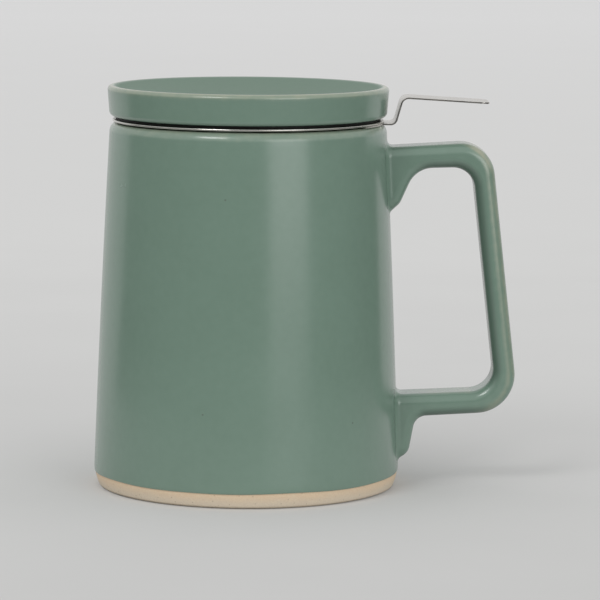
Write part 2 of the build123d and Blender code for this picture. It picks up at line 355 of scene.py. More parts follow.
# %% Lid, seal and flange profiles
lid_low = high["lid_seal"][2]
lid_high = high["lid"][2]
lid_edge = 44.0
lid_under_edge = 43.25            # the lid's side leans in to this radius at its underside
lip = lid_edge - 1.8              # inside of the lip
dish_depth = 4.0
dish_floor = lid_high - dish_depth
lid_core = dish_floor - 5.0       # underside of the lid's middle
spigot = 35.5                     # the ring under the lid
spigot_inside = spigot - 3.6
spigot_end = low["lid"][2]
dish_radius = (lip**2 + dish_depth**2) / (2 * dish_depth)
dish_r = np.linspace(0, lip, 24)
dish_z = dish_floor + dish_radius - np.sqrt(dish_radius**2 - dish_r**2)
dish_corners = [(r, z, 0) for r, z in zip(dish_r[-2::-1], dish_z[-2::-1])]
lid_profile = rounded(
    [(0, lid_core, 0), (spigot_inside, lid_core, 0.8), (spigot_inside, spigot_end, 1.2),
     (spigot, spigot_end, 1.2), (spigot, lid_low, 0.4), (lid_under_edge, lid_low, 1.7),
     (lid_edge, lid_high, 1.3), (lip, lid_high, 0.7), *dish_corners],
    14, 1.6,
)
seal_low = low["lid_seal"][2]
seal_edge = 41.4
seal_bore = 35.65
seal_profile = loop_outline(
    [(38.0, seal_low, 0), (seal_edge, seal_low, 0.38), (seal_edge, lid_low, 0.38),
     (seal_bore, lid_low, 0.1), (seal_bore, seal_low, 0.1)],
    5, 2.0,
)
flange_high = high["infuser_flange"][2]
flange_low = flange_high - 0.7
collar_end = low["infuser_flange"][2]
flange_edge = 42.4
collar_inner = 36.8
collar_outer = 37.5
flange_profile = loop_outline(
    [(40.0, flange_low, 0), (flange_edge, flange_low, 0.33), (flange_edge, flange_high, 0.33),
     (collar_inner, flange_high, 1.5), (collar_inner, collar_end, 0.2),
     (collar_outer, collar_end, 0.2), (collar_outer, flange_low, 0.8)],
    8, 2.5,
)
for title, profile in (("lid", lid_profile), ("seal", seal_profile), ("flange", flange_profile)):
    print(f"{title} profile: {len(profile)} points")

# %% [markdown]
# ## The lifting tab
# A strip of sheet steel leaves the flange, turns up round the lid's edge and runs out level as a
# finger plate. A curve object with a bevel shape could follow that path too, but its section
# couldn't narrow for the rounded tip. So the path is a polyline with bends, and the section a
# flat band with soft edges: each point is the path's point, plus the path's upright normal times
# the place across the sheet, with the place across the strip as Y. Where the strip ends, its
# half width shrinks along a circle, and in the last quarter millimetre so does its thickness.

# %% Tab path
half_gauge = 0.25                 # half the sheet's thickness
tab_level = flange_low - half_gauge
tab_knee = 45.7
tab_rise = 8.3
riser_lean = radians(16.0)        # out of upright
tip_droop = radians(3.3)          # the finger plate falls a little towards its tip
shoulder = (tab_knee + tab_rise * tan(riser_lean), tab_level + tab_rise)
tab_tip = high["infuser_tab"][0] - 0.02
tip_level = shoulder[1] - (tab_tip - shoulder[0]) * tan(tip_droop)
root_inner = 40.9
tab_half_width = 7.5
tip_round = 2.5
path = rounded(
    [(root_inner, tab_level, 0), (tab_knee, tab_level, 1.9), (*shoulder, 2.3), (tab_tip, tip_level, 0)],
    12, 1.0,
)
# distances from the tip, closer together where it rounds off
tip_run = np.array([2.4, 2.2, 1.9, 1.5, 1.1, 0.7, 0.35, 0.1, 0.02, 0])[:, None]
heading = path[-1] - path[-2]
heading = heading / np.linalg.norm(heading)
before_tip = path[np.linalg.norm(path - path[-1], axis=1) > tip_round]
path = np.concatenate([before_tip, path[-1] - tip_run * heading])
ahead = np.gradient(path, axis=0)
ahead = ahead / np.linalg.norm(ahead, axis=1)[:, None]
normal = np.stack([-ahead[:, 1], ahead[:, 0]], 1)
left_over = np.linalg.norm(path - path[-1], axis=1)
corner = np.sqrt(np.maximum(tip_round**2 - np.maximum(tip_round - left_over, 0) ** 2, 0))
half_width = tab_half_width - tip_round + corner
thinning = np.sqrt(np.maximum(half_gauge**2 - (half_gauge - left_over) ** 2, 1e-4))
half_sheet = np.where(left_over < half_gauge, thinning, half_gauge)
print("tab path:", len(path), "points, strip", 2 * tab_half_width, "mm wide")

# %% Tab section and root
soft = 0.06                       # rounding of the strip's long edges, which are sheared square
quarter = np.linspace(0, pi / 2, 5)
lower_edge = -half_gauge + soft - soft * np.cos(quarter)
upper_edge = half_gauge - soft + soft * np.sin(quarter)
edge_n = np.concatenate([lower_edge, [-0.16, 0, 0.16], upper_edge]) / half_gauge
edge_out = np.concatenate([np.sin(quarter), [1, 1, 1], np.cos(quarter)])
across = np.concatenate([[-0.99], np.linspace(-1, 1, 14)[1:-1], [0.99]])
# once round the strip: underside, edge on the +Y side, top, edge on the -Y side
section_y = np.concatenate([across, 1 + 0 * edge_n, across[::-1], -1 + 0 * edge_n])
section_n = np.concatenate([-1 + 0 * across, edge_n, 1 + 0 * across, -edge_n])
section_out = np.concatenate([0 * across, edge_out, 0 * across, -edge_out])
tab_y = section_y[None, :] * (half_width[:, None] - soft) + section_out[None, :] * soft
tab_n = section_n[None, :] * half_sheet[:, None]
tab_points = np.stack([path[:, :1] + normal[:, :1] * tab_n, tab_y, path[:, 1:] + normal[:, 1:] * tab_n], -1)

root_half_turn = radians(31)      # the root follows the flange this far to each side
root_turn = np.linspace(-root_half_turn, root_half_turn, 81)[:, None]
root_low = tab_level - half_gauge
root_high = tab_level + half_gauge
root_section = loop_outline(
    [(41.6, root_low, 0), (flange_edge, root_low, 0.2), (flange_edge, root_high, 0.05),
     (root_inner, root_high, 0.05), (root_inner, root_low, 0.2)],
    5, 1.0,
)
root_r, root_z = root_section.T[:, None]
root_points = np.stack([np.cos(root_turn) * root_r, np.sin(root_turn) * root_r, 0 * root_turn + root_z], -1)


def capped_tube(points, first):
    """Faces of a grid of sections, closed at both ends; its points are counted from first."""
    rows, columns = points.shape[:2]
    start_cap = [first + j for j in range(columns)][::-1]
    end_cap = [first + (rows - 1) * columns + j for j in range(columns)]
    return [*(grid_faces(rows, columns, False, True) + first).tolist(), start_cap, end_cap]


tab_mesh_points = np.concatenate([tab_points.reshape(-1, 3), root_points.reshape(-1, 3)])
tab_mesh_faces = capped_tube(tab_points, 0) + capped_tube(root_points, tab_points.size // 3)
print("tab grid:", tab_points.shape, "root grid:", root_points.shape)

# %% [markdown]
# ## The strainer
# The basket's wall is perforated sheet, rolled into a cone and closed with a lap, where the
# holes are left out. Booleans could cut the holes, but thousands of them are slow and leave a
# poor mesh, and an image with transparent holes has no thickness. So the mesh is built with the
# holes in it. They sit in a honeycomb: each hexagonal cell has a hole in the middle, and zigzag
# lines of shared corners part the rows. So a cell needs only the line under it, the line over it
# and the six corners of its own hole.

# %% Strainer wall
strainer_low = low["strainer_wall"][2]
strainer_high = high["strainer_wall"][2]
strainer_base = 33.5
sheet = 0.4
columns_round = 96                # cells round the wall
mean_radius = 35.2                # the cells are regular where the cone has this radius
cell_side = 2 * pi * mean_radius / columns_round / 3**0.5
hole_share = 0.54                 # hole's corner radius over the cell's
plain_ends = 9                    # plain sheet at both ends together
cell_rows = int((collar_end - strainer_low - plain_ends) / (1.5 * cell_side))
first_row = strainer_low + 6.5
seam_half_cells = 6               # the lap reaches this far to each side of the seam


def strainer_radius(z):
    """Outside radius: linear from the floor up to the collar's end, then straight up."""
    t = np.clip((z - strainer_low) / (collar_end - strainer_low), 0, 1)
    return strainer_base + (collar_inner - strainer_base) * t


def on_wall(turn, z, inwards):
    """Points (cos, sin) of a turn counted in half cells, at the wall's radius less inwards."""
    a = turn * pi / columns_round + pi
    r = strainer_radius(z) - inwards
    return np.stack([r * np.cos(a), r * np.sin(a), z], -1)


def perforated_wall():
    """Both faces of the sheet and the walls of its holes, as one closed mesh. Line i, point j of
    the zigzag stands at half cell j, at height first_row + 1.5 i sides, less half a side, or a
    whole one under a cell's middle."""
    wrap = 2 * columns_round
    line = np.arange(cell_rows + 1)[:, None]
    half = np.arange(wrap)[None, :]
    under_middle = (half + line) % 2 == 0
    zigzag = first_row + line * 1.5 * cell_side - np.where(under_middle, cell_side, cell_side / 2)
    flat_low = np.array([strainer_low, strainer_low + 1.5, strainer_low + 3.0])[:, None]
    flat_high = np.array([collar_end - 1.2, collar_end, collar_end + 1.5, strainer_high])[:, None]
    grid_z = np.concatenate([np.repeat(flat_low, wrap, 1), zigzag, np.repeat(flat_high, wrap, 1)])
    grid_turn = np.repeat(half.astype(float), len(grid_z), 0)

    row, column = np.meshgrid(np.arange(cell_rows), np.arange(columns_round), indexing="ij")
    middle = 2 * column + row % 2
    middle_z = first_row + row * 1.5 * cell_side
    corner_turn = np.array([0, 1, 1, 0, -1, -1])
    corner_z = np.array([-1, -0.5, 0.5, 1, 0.5, -0.5]) * cell_side
    hole_turn = middle[..., None] + corner_turn * hole_share
    hole_z = middle_z[..., None] + corner_z * hole_share

    start = len(flat_low)
    below = (start + row) * wrap
    above = (start + row + 1) * wrap
    ring = np.stack(
        [below + middle % wrap, below + (middle + 1) % wrap, above + (middle + 1) % wrap,
         above + middle % wrap, above + (middle - 1) % wrap, below + (middle - 1) % wrap], -1
    ).reshape(-1, 6)
    hole = grid_z.size + np.arange(ring.size).reshape(-1, 6)
    seam = ((middle.reshape(-1) + seam_half_cells) % wrap) < 2 * seam_half_cells + 1
    all_turns = np.concatenate([grid_turn.ravel(), hole_turn.ravel()])
    all_z = np.concatenate([grid_z.ravel(), hole_z.ravel()])
    outside = on_wall(all_turns, all_z, 0)
    inside = on_wall(all_turns, all_z, sheet)
    count = len(outside)

    bands = grid_faces(len(grid_z), wrap, False, True)
    band_row = np.repeat(np.arange(len(grid_z) - 1), wrap)
    bands = bands[(band_row < start) | (band_row >= start + cell_rows)]
    ring_next = np.roll(ring, -1, 1)
    hole_next = np.roll(hole, -1, 1)
    around = np.stack([ring, ring_next, hole_next, hole], -1)
    outer = np.concatenate([bands, around.reshape(-1, 4)])
    plugs = hole[seam]
    bores = np.stack([hole, hole_next, hole_next + count, hole + count], -1)[~seam].reshape(-1, 4)
    edge = np.arange(wrap)
    edge_next = (edge + 1) % wrap
    last = (len(grid_z) - 1) * wrap
    lower_rim = np.stack([edge_next, edge, edge + count, edge_next + count], 1)
    upper_rim = np.stack([last + edge, last + edge_next, last + edge_next + count, last + edge + count], 1)
    faces = [*outer.tolist(), *(outer[:, ::-1] + count).tolist(), *bores.tolist()]
    faces += [*lower_rim.tolist(), *upper_rim.tolist()]
    faces += [*plugs.tolist(), *(plugs[:, ::-1] + count).tolist()]
    return np.concatenate([outside, inside]), faces


hole_across = 2 * hole_share * cell_side
print(f"strainer wall: {cell_rows} rows of {columns_round} cells, holes {hole_across:.2f} mm across")

# %% [markdown]
# The floor is a pressed disc. Its holes are cut by a triangulation that keeps every hole's
# outline as an edge, and the triangles that fall inside a hole are left out. The flat part is
# then carried on round the bend and up the skirt, and a modifier gives the sheet its thickness.

# %% Strainer floor
floor_low = low["strainer_floor"][2]
skirt_top = high["strainer_floor"][2]
floor_hole = 0.64                 # radius of a hole
floor_pitch = 2.4
floor_flat = 31.0                 # the flat, perforated part ends here
bend_ring = 32.2                  # one plain ring before the bend
floor_margin = 0.9                # plain sheet beyond the last holes
skirt_bend = 0.6                  # radius of the bend, in the middle of the sheet
hole_corners = 8
floor_turns = 160


def perforated_floor():
    """Middle surface of the floor: a disc with round holes in a honeycomb, then turned rings:
    a flat one, a quarter circle of the bend's radius, and the skirt up along the wall."""
    reach = int(floor_flat / floor_pitch) + 2
    i, j = np.meshgrid(np.arange(-reach, reach + 1), np.arange(-reach, reach + 1))
    centres = np.stack([(i + j / 2) * floor_pitch, j * floor_pitch * 3**0.5 / 2], -1).reshape(-1, 2)
    centres = centres[np.hypot(*centres.T) < floor_flat - floor_hole - floor_margin]
    corner = np.arange(hole_corners) * 2 * pi / hole_corners
    outline = centres[:, None] + floor_hole * np.stack([np.cos(corner), np.sin(corner)], 1)
    a = np.arange(floor_turns) * 2 * pi / floor_turns
    spokes = np.stack([np.cos(a), np.sin(a)], 1)
    loops = floor_turns + np.arange(outline.shape[0] * hole_corners).reshape(-1, hole_corners)
    edges = [(k, (k + 1) % floor_turns) for k in range(floor_turns)]
    edges += np.stack([loops, np.roll(loops, -1, 1)], -1).reshape(-1, 2).tolist()
    flat = np.concatenate([floor_flat * spokes, outline.reshape(-1, 2)])

    cut = delaunay_2d_cdt([Vector(p) for p in flat], edges, [], 0, 1e-6)
    points = np.array([tuple(p) for p in cut[0]])
    triangles = np.array(cut[2])
    source = np.array([min(sources) for sources in cut[3]])
    from_hole = source >= floor_turns
    owner = (source - floor_turns) // hole_corners
    same = (owner[triangles] == owner[triangles][:, :1]).all(1) & from_hole[triangles].all(1)
    triangles = triangles[~same]

    middle_z = (floor_low + strainer_low) / 2
    bend = np.linspace(0, pi / 2, 6)
    skirt_z = np.linspace(middle_z + skirt_bend, skirt_top, 6)[1:]
    bend_r = strainer_base + sheet / 2 - skirt_bend + skirt_bend * np.sin(bend)
    bend_z = middle_z + skirt_bend - skirt_bend * np.cos(bend)
    ring_r = np.concatenate([[bend_ring], bend_r, strainer_radius(skirt_z) + sheet / 2])
    ring_z = np.concatenate([[middle_z], bend_z, skirt_z])
    rings = np.stack(
        [ring_r[:, None] * spokes[None, :, 0], ring_r[:, None] * spokes[None, :, 1],
         np.repeat(ring_z[:, None], floor_turns, 1)], -1
    ).reshape(-1, 3)
    rim = np.array([np.argmin(np.hypot(*(points - floor_flat * spoke).T)) for spoke in spokes])
    count = len(points)
    here = np.arange(floor_turns)
    following = (here + 1) % floor_turns
    join = np.stack([rim, count + here, count + following, rim[following]], 1)
    bands = grid_faces(len(ring_r), floor_turns, False, True)[:, ::-1] + count
    flat_points = np.concatenate([points, np.full((count, 1), middle_z)], 1)
    faces = [*triangles.tolist(), *join.tolist(), *bands.tolist()]
    print(f"strainer floor: {len(centres)} holes, {2 * floor_hole} mm across")
    return np.concatenate([flat_points, rings]), faces


# %% [markdown]
# ## Where glaze runs thin
# Molten glaze draws back from sharp edges, so there it is thin and the tan clay shows through.
# The shader's own Pointiness could find edges, but it depends on how dense the mesh is and
# isn't kept in an export. A turned profile knows its own edges: the direction turns quickly
# there. That turn per millimetre is smoothed along the profile and stored on the points, for
# the shader to read.

# %% Edge mask of a profile
def thin_glaze(profile, above, spread=0.4):
    """Turn per millimetre at each profile point, left turns only, smoothed along the profile by
    a Gaussian of the given spread, scaled so that a 1.4 mm edge gives about 1. It fades out
    below a height: glaze runs down, so lower edges keep a thick coat."""
    length = np.linalg.norm(np.diff(profile, axis=0), axis=1)
    keep = np.concatenate([[True], length > 1e-6])
    step = np.diff(profile[keep], axis=0)
    length = np.linalg.norm(step, axis=1)
    along = np.concatenate([[0], np.cumsum(length)])
    way = step / length[:, None]
    turn = np.arcsin(np.clip(way[:-1, 0] * way[1:, 1] - way[:-1, 1] * way[1:, 0], -1, 1))
    turn = np.concatenate([[0], np.maximum(turn, 0), [0]])
    apart = (along[:, None] - along[None, :]) / spread
    weight = np.exp(-0.5 * apart**2) / (spread * (2 * pi) ** 0.5)
    mask = np.zeros(len(profile))
    mask[keep] = np.clip(1.4 * weight @ turn, 0, 1)
    return mask * np.clip((profile[:, 1] - above) / 2, 0, 1)


def per_point(mask, poles=(0, 0)):
    """A mask of a profile, repeated round a turned piece, with a value for each pole."""
    return np.concatenate([np.repeat(mask[1:-1], turns), poles])


cup_thin = 0.7 * thin_glaze(cup_profile, rim_start - 2)
near_lip = np.clip((lid_edge - 0.1 - lid_profile[:, 0]) / 1.2, 0.5, 1)
lid_thin = thin_glaze(lid_profile, lid_high - 3.5) * near_lip
in_dish = np.clip((lip - lid_profile[:, 0]) / 1.5, 0, 1) * (lid_profile[:, 1] > dish_floor - 1)
print(f"strongest mask of thin glaze: cup {cup_thin.max():.2f}, lid {lid_thin.max():.2f}")

# %% [markdown]
# ## Glaze
# A satin celadon, dipped and fired: a soft grey-green that is cloudy where the coat is thicker,
# with a faint dimpled skin, a few pinholes where bubbles broke, and edges that go tan. A thin
# glassy skin lies over its satin body, so the shader's coat adds a little sharper gloss. In the
# dish of the lid the colour is darker and the gloss rougher, and the coat is left out. On the
# handle, shade is painted: it is darker underneath and on its side towards the cup, and a pale
# sheen is painted on its sides that face up and out. A painted texture could hold all that, but
# patterns worked out from the place stay sharp at any distance. The colour is built up in layers,
# each laid over the last by its own share. All sizes are real millimetres: Object coordinates are
# metres here, because each piece sits at the origin, so one factor turns them into millimetres.

# %% Glaze material
GLAZE_DEEP = "#687f71"
GLAZE_PALE = "#6c8476"
GLAZE_FLECK = "#768d80"
# tan of thin glaze; on the handle the same colour paints a pale sheen
GLAZE_THIN_AND_SHEEN = "#a7a38c"
# painted shade for the handle's undersides and its side towards the cup
GLAZE_PAINTED_SHADE = "#53655a"
GLAZE_DULL = "#5a6e5e"
GLAZE_PINHOLE = "#4c4a3c"
coat_weight = 0.2


def millimetres(tree):
    """Object coordinates of the piece, in millimetres."""
    coordinate = add(tree, "TexCoord", output="Object")
    return add(tree, "VectorMath", {"operation": "SCALE"}, {"Vector": coordinate, "Scale": 1 / MM})


def glaze_material(name, thin, dull=None, painted_shade=None, pinholes=()):
    """Satin celadon glaze. Its three mask arguments are functions that add the nodes of a mask and
    return its socket: where the coat runs thin, which on the handle also paints a pale sheen;
    where the lid's dish is made darker and rougher; and where shade is painted dark on the
    handle, underneath and on its side towards the cup. Pinholes are points in millimetres."""
    material, tree = start_material(name)
    place = millimetres(tree)
    cloud = add(tree, "TexNoise", {}, {"Vector": place, "Scale": 1 / 26, "Detail": 4, "Roughness": 0.55})
    mottle = add(tree, "TexNoise", {}, {"Vector": place, "Scale": 1 / 2.6, "Detail": 1})
    skin = add(tree, "TexNoise", {}, {"Vector": place, "Scale": 1 / 3.5, "Detail": 2})

    depth = add(tree, "MapRange", SMOOTH, [cloud, 0, 1])
    fleck = add(tree, "MapRange", SMOOTH, [mottle, 0, 1, 0, 0.25])
    layers = [(depth, GLAZE_PALE), (fleck, GLAZE_FLECK)]
    # Painted shade: the handle is made darker under its arms and on its side towards the cup.
    if painted_shade:
        layers.append((painted_shade(tree), GLAZE_PAINTED_SHADE))
    uneven = add(tree, "MapRange", SMOOTH, [mottle, 0, 1, -0.1, 0.1])
    ragged = add(tree, "Math", PLUS, [thin(tree), uneven])
    # Tan of thin glaze; on the handle this layer is partly a painted sheen and highlight.
    layers.append((add(tree, "MapRange", SMOOTH, [ragged, 0.1, 1, 0, 0.75]), GLAZE_THIN_AND_SHEEN))

    roughness = add(tree, "MapRange", SMOOTH, [cloud, 0, 1, 0.21, 0.29])
    coat = coat_weight
    # In the lid's dish the colour is darker, the gloss rougher and the coat left out.
    if dull:
        dullness = dull(tree)
        layers.append((add(tree, "Math", TIMES, [dullness, 0.35]), GLAZE_DULL))
        roughness = add(tree, "Math", TIMES_PLUS, [dullness, 0.5, roughness])
        coat = add(tree, "MapRange", SMOOTH, [dullness, 0, 1, coat_weight, 0])

    height = add(tree, "Math", TIMES, [skin, 0.03])
    for point in pinholes:
        reach = add(tree, "VectorMath", {"operation": "DISTANCE"}, [place, point], "Value")
        hole = add(tree, "MapRange", SMOOTH, [reach, 0.15, 0.42, 1, 0])
        layers.append((add(tree, "Math", TIMES, [hole, 0.45]), GLAZE_PINHOLE))
        height = add(tree, "Math", TIMES_PLUS, [hole, -0.05, height])

    colour = linear(GLAZE_DEEP)
    for share, shade in layers:
        colour = add(tree, "Mix", COLOURS, {0: share, 6: colour, 7: linear(shade)}, 2)
    bumped = add(tree, "Bump", {}, {"Strength": 0.6, "Distance": MM, "Height": height})
    shader = add(tree, "BsdfPrincipled", {}, {
        "Base Color": colour, "Roughness": roughness, "IOR": 1.56, "Normal": bumped,
        "Coat Weight": coat, "Coat Roughness": 0.16, "Coat IOR": 1.5, "Coat Normal": bumped})
    return end_of_graph(material, shader)


# %% [markdown]
# A turned piece carries its masks on its points. The handle keeps its CAD surface, which has no
# profile to ask, so its masks come from the way the surface faces.

# %% Masks of the glaze, and the three glazes
def thin_on_points(tree):
    """The mask of thin glaze that a turned piece carries."""
    return add(tree, "Attribute", {"attribute_name": "thin_glaze"}, output="Fac")


def dull_on_points(tree):
    """The mask of the lid's dish, where the glaze is made darker and rougher than on the walls."""
    return add(tree, "Attribute", {"attribute_name": "matte"}, output="Fac")


def facing(tree, way):
    """Cosine between the surface's normal and a direction, in the piece's own axes."""
    normal = add(tree, "TexCoord", output="Normal")
    return add(tree, "VectorMath", {"operation": "DOT_PRODUCT"}, [normal, way], "Value")


def thin_glaze_and_painted_sheen(tree):
    """For the handle: a soft tan line down the grip's outer rounding, partly thin glaze and partly a
    painted highlight, and a painted pale sheen along every side of the arms and grip that faces
    up or away from the cup."""
    reach = add(tree, "SeparateXYZ", {}, [millimetres(tree)], "X")
    # A tan line down the grip's outer rounding: partly thin glaze, partly a painted highlight.
    sideways = facing(tree, (1, 0, 0))
    rise = add(tree, "MapRange", SMOOTH, [sideways, -0.2, 0.3])
    fall = add(tree, "MapRange", SMOOTH, [sideways, 0.3, 0.9, 0.42, 0])
    line = add(tree, "Math", TIMES, [rise, fall])
    on_grip = add(tree, "MapRange", SMOOTH, [reach, 66, 74])
    grip_tan_and_painted_highlight = add(tree, "Math", TIMES, [line, on_grip])
    # Painted reflection: the sides that face up and away from the cup are made pale.
    outer = add(tree, "MapRange", SMOOTH, [facing(tree, (0.76, 0, 0.65)), 0.42, 0.66, 0, 0.4])
    off_the_wall = add(tree, "MapRange", SMOOTH, [reach, 50, 58])
    return add(tree, "Math", TIMES_PLUS, [outer, off_the_wall, grip_tan_and_painted_highlight])


def painted_shade_inside(tree):
    """For the handle: painted shade, darker where the surface faces down and towards the cup."""
    inner = facing(tree, (-0.75, 0, -0.65))
    return add(tree, "MapRange", SMOOTH, [inner, -0.05, 0.5, 0, 0.85])


PINHOLES = [(-6.8, 94.0), (-13.3, 28.8), (32.5, 24.8)]     # x and height on the cup's front
holes_on_wall = [(x, -((outside_radius(z) ** 2 - x**2) ** 0.5), z) for x, z in PINHOLES]
glaze = glaze_material("satin_celadon_glaze", thin_on_points, pinholes=holes_on_wall)
lid_glaze = glaze_material("satin_celadon_glaze_on_lid", thin_on_points, dull_on_points)
# The handle's glaze carries painted shade and a painted pale sheen.
handle_glaze = glaze_material("satin_celadon_glaze_on_handle_painted_shade_and_sheen", thin_glaze_and_painted_sheen, painted_shade=painted_shade_inside)

# %% [markdown]
# ## Bare clay
# Buff stoneware, fired and left unglazed: dry, sandy, a little warmer just under the glaze
# where it took up some flux, with fine dark iron specks. It has hardly any gloss, so what makes
# it read as clay is the grain of its sand, in the colour and in the skin.

# %% Clay material
def clay_material():
    """Unglazed stoneware: clouds of 7 mm, sand of 0.5 and 0.2 mm, iron specks 1.7 mm apart."""
    material, tree = start_material("bare_buff_stoneware")
    place = millimetres(tree)
    cloud = add(tree, "TexNoise", {}, {"Vector": place, "Scale": 1 / 7, "Detail": 4, "Roughness": 0.6})
    sand = add(tree, "TexNoise", {}, {"Vector": place, "Scale": 1 / 0.5, "Detail": 3, "Roughness": 0.65})
    grit = add(tree, "TexNoise", {}, {"Vector": place, "Scale": 1 / 0.2, "Detail": 2})
    specks = add(tree, "TexVoronoi", {"feature": "F1"}, {"Vector": place, "Scale": 1 / 1.7})

    height = add(tree, "SeparateXYZ", {}, [place], "Z")
    uneven = add(tree, "Math", TIMES_PLUS, [cloud, 2, height])
    warm = add(tree, "MapRange", SMOOTH, [uneven, 2, 5.6])
    sandy = add(tree, "MapRange", SMOOTH, [sand, 0.3, 0.75, 0, 0.5])
    iron = add(tree, "MapRange", SMOOTH, [specks, 0.08, 0.16, 0.35, 0])
    colour = linear("#cbbeac")
    for share, shade in ((warm, "#d1b89b"), (sandy, "#dbceb4"), (iron, "#6d5a42")):
        colour = add(tree, "Mix", COLOURS, {0: share, 6: colour, 7: linear(shade)}, 2)

    sand_height = add(tree, "Math", TIMES, [sand, 0.06])
    rough_skin = add(tree, "Math", TIMES_PLUS, [grit, 0.02, sand_height])
    bumped = add(tree, "Bump", {}, {"Strength": 0.8, "Distance": MM, "Height": rough_skin})
    shader = add(tree, "BsdfPrincipled", {}, {
        "Base Color": colour, "Roughness": 0.85, "IOR": 1.5, "Normal": bumped})
    return end_of_graph(material, shader)


bare_clay = clay_material()

# %% [markdown]
# ## Stainless steel
# Metal needs no colour of its own beyond a warm grey. What makes it read as steel is its grain:
# fine lines left by brushing or by the press, which spread the gloss across them. An
# anisotropic shader could spread it too, but real lines also break up the reflection. So the
# grain is noise in coordinates that are squeezed along the direction of the lines. On a turned
# ring the lines run round it, so there the coordinates are radius and height. Real grain is
# finer than 0.12 mm, but finer lines wouldn't show at this distance.

# %% Steel materials
def along_x(tree):
    """Coordinates for grain that runs along X: X counts for little."""
    return add(tree, "VectorMath", TIMES, [millimetres(tree), (0.04, 1, 1)])


def round_the_axis(tree):
    """Coordinates for grain that runs round Z: distance from the axis, height, and no angle."""
    x, y, z = add(tree, "SeparateXYZ", {}, [millimetres(tree)]).node.outputs
    flat = add(tree, "CombineXYZ", {}, [x, y])
    distance = add(tree, "VectorMath", {"operation": "LENGTH"}, [flat], "Value")
    return add(tree, "CombineXYZ", {}, {"X": distance, "Z": z})


def steel_material(name, grain_place, colour, dull, satin):
    """Stainless steel with grain; dull and satin are its highest and lowest roughness."""
    material, tree = start_material(name)
    lines = add(tree, "TexNoise", {}, {
        "Vector": grain_place(tree), "Scale": 1 / 0.12, "Detail": 3, "Roughness": 0.7})
    smudge = add(tree, "TexNoise", {}, {
        "Vector": millimetres(tree), "Scale": 1 / 9, "Detail": 3, "Roughness": 0.6})
    handled = add(tree, "MapRange", SMOOTH, [smudge, 0.3, 0.75, 0, 0.35])
    tone = add(tree, "Mix", COLOURS, {0: handled, 6: linear(colour), 7: linear("#a9a59c")}, 2)
    line_part = add(tree, "Math", TIMES, [lines, 0.6])
    texture = add(tree, "Math", TIMES_PLUS, [smudge, 0.4, line_part])
    rough = add(tree, "MapRange", SMOOTH, [texture, 0.3, 0.7, satin, dull])
    line_height = add(tree, "Math", TIMES, [lines, 0.006])
    bumped = add(tree, "Bump", {}, {"Strength": 0.35, "Distance": MM, "Height": line_height})
    shader = add(tree, "BsdfPrincipled", {}, {
        "Base Color": tone, "Metallic": 1.0, "Roughness": rough, "Normal": bumped})
    return end_of_graph(material, shader)


turned_steel = steel_material("turned_stainless_steel", round_the_axis, "#cfcdc8", 0.3, 0.17)
strip_steel = steel_material("brushed_stainless_strip", along_x, "#c9c6c0", 0.34, 0.2)
perforated_steel = steel_material("perforated_stainless_sheet", millimetres, "#c6c4bf", 0.4, 0.26)

# %% [markdown]
# ## Silicone
# Moulded black silicone is nearly matte, with a trace of a spark-eroded mould's skin and a
# little dust, which greys it here and there.

# %% Silicone material
def silicone_material():
    """Black rubber: a skin of 0.3 mm dimples and clouds of dust 4 mm across."""
    material, tree = start_material("moulded_black_silicone")
    place = millimetres(tree)
    skin = add(tree, "TexNoise", {}, {"Vector": place, "Scale": 1 / 0.3, "Detail": 3, "Roughness": 0.6})
    dust = add(tree, "TexNoise", {}, {"Vector": place, "Scale": 1 / 4, "Detail": 4, "Roughness": 0.6})
    dusty = add(tree, "MapRange", SMOOTH, [dust, 0.45, 0.8, 0, 0.5])
    tone = add(tree, "Mix", COLOURS, {0: dusty, 6: linear("#060705"), 7: linear("#10110f")}, 2)
    rough = add(tree, "MapRange", SMOOTH, [skin, 0.3, 0.7, 0.5, 0.66])
    skin_height = add(tree, "Math", TIMES, [skin, 0.02])
    bumped = add(tree, "Bump", {}, {"Strength": 0.4, "Distance": MM, "Height": skin_height})
    shader = add(tree, "BsdfPrincipled", {}, {
        "Base Color": tone, "Roughness": rough, "IOR": 1.41, "Normal": bumped})
    return end_of_graph(material, shader)


silicone = silicone_material()

# %% [markdown]
# ## The pieces
# Each new piece takes over from its CAD node and rides on the same body, so it moves with it.
# The handle's CAD surface is already right, blended ears and all, so it stays and only gets
# the glaze.

# %% Make the pieces
def finished(piece, node, body):
    """Hides the CAD node that the piece stands for and sets the piece on the body it rides on."""
    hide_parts(node)
    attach(piece, body)
    return piece


points, faces, ring = turned(cup_profile, False, wander)
cup_masks = {"thin_glaze": per_point(cup_thin)}
cup = make_piece("stoneware_cup", points, faces, [glaze, bare_clay], cup_masks, ring < clay_rings)
finished(cup, "mug_body", "mug")

points, faces, _ = turned(lid_profile, False)
lid_masks = {"thin_glaze": per_point(lid_thin), "matte": per_point(in_dish, (0, 1))}
dished_lid = make_piece("dished_lid", points, faces, [lid_glaze], lid_masks)
finished(dished_lid, "lid", "lid")

points, faces, _ = turned(seal_profile, True)
seal_washer = make_piece("seal_washer", points, faces, [silicone])
finished(seal_washer, "lid_seal", "lid")

points, faces, _ = turned(flange_profile, True)
infuser_rim = make_piece("infuser_rim", points, faces, [turned_steel])
finished(infuser_rim, "infuser_flange", "infuser")

finger_tab = make_piece("finger_tab", tab_mesh_points, tab_mesh_faces, [strip_steel])
finished(finger_tab, "infuser_tab", "infuser")

points, faces = perforated_wall()
strainer_side = make_piece("strainer_side", points, faces, [perforated_steel])
finished(strainer_side, "strainer_wall", "infuser")

points, faces = perforated_floor()
strainer_bottom = make_piece("strainer_base", points, faces, [perforated_steel])
finished(strainer_bottom, "strainer_floor", "infuser")
gauge = strainer_bottom.modifiers.new("gauge", "SOLIDIFY")
gauge.thickness = (sheet - 0.02) * MM
gauge.offset = 0

